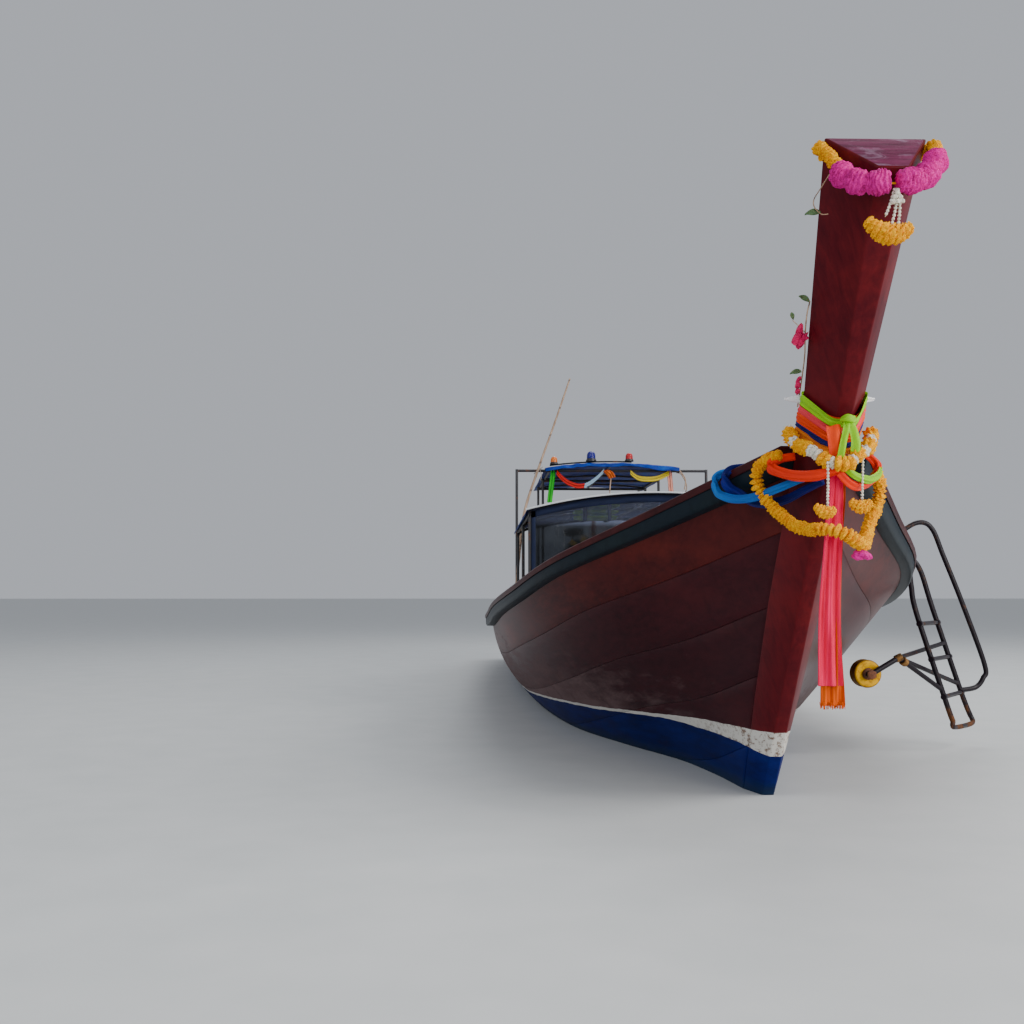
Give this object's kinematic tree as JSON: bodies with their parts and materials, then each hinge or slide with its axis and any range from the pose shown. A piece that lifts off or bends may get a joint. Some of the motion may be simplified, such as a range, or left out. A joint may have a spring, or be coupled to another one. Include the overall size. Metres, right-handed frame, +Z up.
{
  "type": "wooden longtail boat",
  "caption": "Planked wooden longtail boat with a tall raked stem post, two canopies, a bow ladder and a swivelling stern engine whose propeller sits on a long tail tube.",
  "frame": {"origin": "on the still waterline, on the middle line of the boat, 5.2 m aft of where the stem cuts the water", "axes": "+X to the bow, +Y to port, +Z up; z = 0 is the waterline"},
  "size_m": [15.8729, 2.9844, 3.4552],
  "materials": {
    "bottom_paint": "worn marine blue paint on wood",
    "varnish": "dark red-brown varnish, worn",
    "stem_varnish": "glossy red-brown varnish",
    "rail_paint": "dark green-black paint",
    "cap_wood": "worn brown varnish",
    "inner_wood": "bare weathered wood",
    "deck_wood": "bare weathered boards",
    "dark_steel": "dark painted tube with rust",
    "pale_steel": "worn grey steel",
    "engine_iron": "grey-green engine enamel",
    "bronze": "dull bronze",
    "blue_cloth": "woven tarpaulin",
    "clear_sheet": "clear flexible plastic sheet",
    "bamboo": "dry bamboo",
    "lamp_plastic": "coloured lamp domes",
    "yellow_plastic": "moulded float",
    "orange_cloth": "woven cloth",
    "lime_cloth": "bright padded vests",
    "marigold": "strung blossoms",
    "pink_cloth": "thin bright cloth"
  },
  "bodies": {
    "boat": {"keel": "bottom_paint", "stem_post": "stem_varnish", "garboard_strake_port": "bottom_paint", "garboard_strake_starboard": "bottom_paint", "bottom_strake_port": "bottom_paint", "bottom_strake_starboard": "bottom_paint", "bilge_strake_port": "varnish", "bilge_strake_starboard": "varnish", "topside_strake_port": "varnish", "topside_strake_starboard": "varnish", "sheer_strake_port": "varnish", "sheer_strake_starboard": "varnish", "rub_rail_port": "rail_paint", "rub_rail_starboard": "rail_paint", "gunwale_cap_port": "cap_wood", "gunwale_cap_starboard": "cap_wood", "transom": "varnish", "foredeck": "deck_wood", "sole_boards": "deck_wood", "aft_platform": "deck_wood", "aft_bulkhead": "inner_wood", "engine_beam": "inner_wood", "thwart_1": "deck_wood", "thwart_2": "deck_wood", "thwart_3": "deck_wood", "thwart_4": "deck_wood", "thwart_5": "deck_wood", "frames": "inner_wood", "front_canopy_frame": "dark_steel", "front_canopy_roof": "blue_cloth", "front_clear_sheet": "clear_sheet", "life_vests": "lime_cloth", "aft_canopy_frame": "dark_steel", "aft_canopy_roof": "blue_cloth", "roof_lamps": "lamp_plastic", "bamboo_pole": "bamboo", "bow_ladder": "dark_steel", "ladder_fender": "yellow_plastic", "engine_socket": "pale_steel", "ribbon_collar": "orange_cloth", "head_garland": "marigold", "marigold_garland": "marigold", "pink_sash": "pink_cloth", "blue_sash": "blue_cloth"},
    "yoke": {"engine_yoke": "pale_steel"},
    "engine": {"engine_cradle": "dark_steel", "engine_block": "engine_iron", "rocker_cover": "pale_steel", "air_cleaner": "dark_steel", "exhaust": "dark_steel", "tail_tube": "pale_steel"},
    "propeller": {"propeller": "bronze"}
  },
  "joints": [
    {"name": "engine_yaw", "type": "hinge", "parent": "boat", "child": "yoke", "pos_m": [-5.05, 0, 0.98], "axis": [0, 0, 1], "range_deg": [-45, 45]},
    {"name": "engine_tilt", "type": "hinge", "parent": "yoke", "child": "engine", "pos_m": [-5.05, 0, 1.0888], "axis": [0, 1, 0], "range_deg": [-14, 8]},
    {"name": "propeller_spin", "type": "hinge", "parent": "engine", "child": "propeller", "pos_m": [-5.0639, 0, 1.1878], "axis": [0.9903, 0, 0.1392], "continuous": true}
  ]
}
